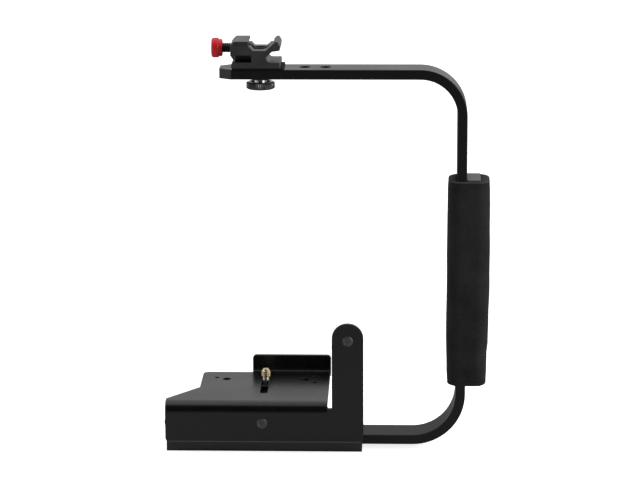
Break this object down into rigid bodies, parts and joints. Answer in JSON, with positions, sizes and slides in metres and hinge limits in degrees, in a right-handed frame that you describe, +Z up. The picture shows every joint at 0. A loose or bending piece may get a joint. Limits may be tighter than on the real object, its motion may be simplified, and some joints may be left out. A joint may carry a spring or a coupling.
{
  "type": "camera flash bracket",
  "caption": "Flat-bar bracket that carries a flash shoe over a camera, with a foam grip and a sheet platform on links that flips the camera a quarter turn.",
  "frame": {"origin": "centre of the tripod socket's mouth in the underside of the rail", "axes": "+Z up towards the flash shoe, +X to the right towards the grip, -Y towards the subject side of the front panel, where the picture looks from"},
  "size_m": [0.2115, 0.0763, 0.2708],
  "materials": {
    "bar_black": "black anodised flat bar, satin",
    "sheet_black": "black powder-coated sheet, fine satin grain",
    "rail_black": "black powder-coated sheet",
    "link_metal": "dark plated flat steel",
    "rivet_dark": "dark satin steel",
    "steel": "turned steel",
    "brass": "bright turned brass",
    "nylon": "natural nylon",
    "washer_black": "black nylon",
    "foam": "black closed-cell foam, fine matte skin",
    "filler_grey": "dark grey moulded plastic",
    "shoe_black": "black anodised, machined",
    "pad_black": "thin black rubber",
    "red_anodised": "red anodised aluminium, satin",
    "thread_black": "black oxide steel",
    "knurl_black": "black plated, knurled",
    "knob_plastic": "black moulded plastic"
  },
  "bodies": {
    "frame": {"frame_bar": "bar_black", "base_rail": "rail_black", "base_screws": "steel", "tripod_bush": "steel", "pivot_pin_left": "rivet_dark", "pivot_pin_right": "rivet_dark", "stop_pins": "steel", "washer_left": "nylon", "washer_right": "nylon", "shoe_body": "shoe_black", "shoe_pad": "pad_black", "thumb_washer": "washer_black", "grip_foam": "foam", "grip_filler": "filler_grey"},
    "left_link": {"link_left": "link_metal"},
    "platform": {"camera_platform": "sheet_black", "pivot_rivet_center": "rivet_dark", "pivot_rivet_arm": "rivet_dark", "washer_center": "nylon", "washer_arm": "nylon"},
    "right_link": {"link_right": "link_metal", "pivot_tail_right": "rivet_dark"},
    "screw_guide": {"screw_washer": "washer_black"},
    "screw": {"camera_screw": "brass", "screw_knob": "knob_plastic"},
    "thumb": {"thumb_screw": "knurl_black"},
    "lock_tip": {"shoe_lock_tip": "nylon"},
    "lock_screw": {"shoe_lock_screw": "thread_black", "shoe_lock_knob": "red_anodised"}
  },
  "joints": [
    {"name": "flip", "type": "hinge", "parent": "frame", "child": "left_link", "pos_m": [-0.0558, 0, 0.021], "axis": [0, -1, 0], "range_deg": [0, 90]},
    {"name": "platform_turn", "type": "hinge", "parent": "left_link", "child": "platform", "pos_m": [0, 0, 0.021], "axis": [0, 1, 0], "range_deg": [0, 180]},
    {"name": "right_link_turn", "type": "hinge", "parent": "platform", "child": "right_link", "pos_m": [0.0558, 0, 0.0768], "axis": [0, -1, 0], "range_deg": [0, 180]},
    {"name": "screw_slide", "type": "slide", "parent": "platform", "child": "screw_guide", "axis": [0, -1, 0], "range_m": [0, 0.028]},
    {"name": "screw_spin", "type": "hinge", "parent": "screw_guide", "child": "screw", "pos_m": [0, 0.03, 0.0348], "axis": [0, 0, 1], "continuous": true},
    {"name": "thumb_spin", "type": "hinge", "parent": "frame", "child": "thumb", "pos_m": [0, 0, 0.24], "axis": [0, 0, 1], "continuous": true},
    {"name": "lock_advance", "type": "slide", "parent": "frame", "child": "lock_tip", "axis": [1, 0, 0], "range_m": [0, 0.003]},
    {"name": "lock_turn", "type": "hinge", "parent": "lock_tip", "child": "lock_screw", "pos_m": [-0.02, 0, 0.26455], "axis": [1, 0, 0], "range_deg": [0, 852]}
  ],
  "couplings": [
    {"joint": "platform_turn", "follows": "flip", "ratio": 2},
    {"joint": "right_link_turn", "follows": "flip", "ratio": 2},
    {"joint": "lock_turn", "follows": "lock_advance", "rad_per_m": 4947.4}
  ]
}
